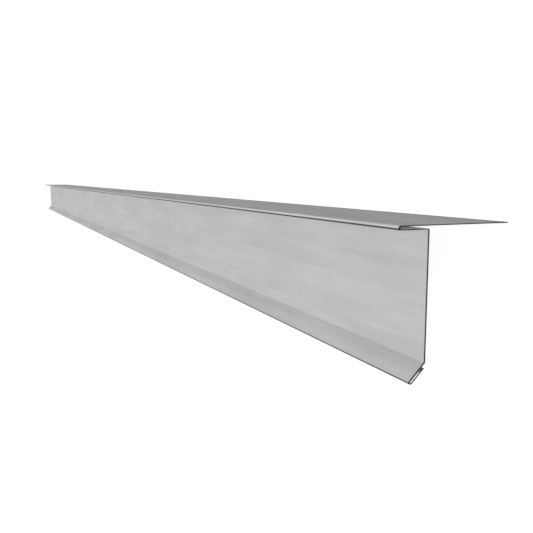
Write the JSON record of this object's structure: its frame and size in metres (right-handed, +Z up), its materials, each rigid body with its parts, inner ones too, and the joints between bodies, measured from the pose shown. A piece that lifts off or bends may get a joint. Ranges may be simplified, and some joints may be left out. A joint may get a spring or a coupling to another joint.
{
  "type": "drip edge",
  "caption": "Long galvanised sheet steel roof edge flashing: flange, hemmed nose, upright face and an angled kick with a hem.",
  "frame": {"origin": "centre of the bottom of the box that holds the part as it lies on a level floor, on the free edge of its flange and the free edge of its hem", "axes": "+Y along the length, away from the near end; +Z up from the floor; +X towards the flange"},
  "size_m": [0.149, 3.048, 0.0831],
  "materials": {
    "galvanised_sheet": "galvanised, matte"
  },
  "bodies": {
    "root": {"drip_edge": "galvanised_sheet"}
  },
  "joints": []
}
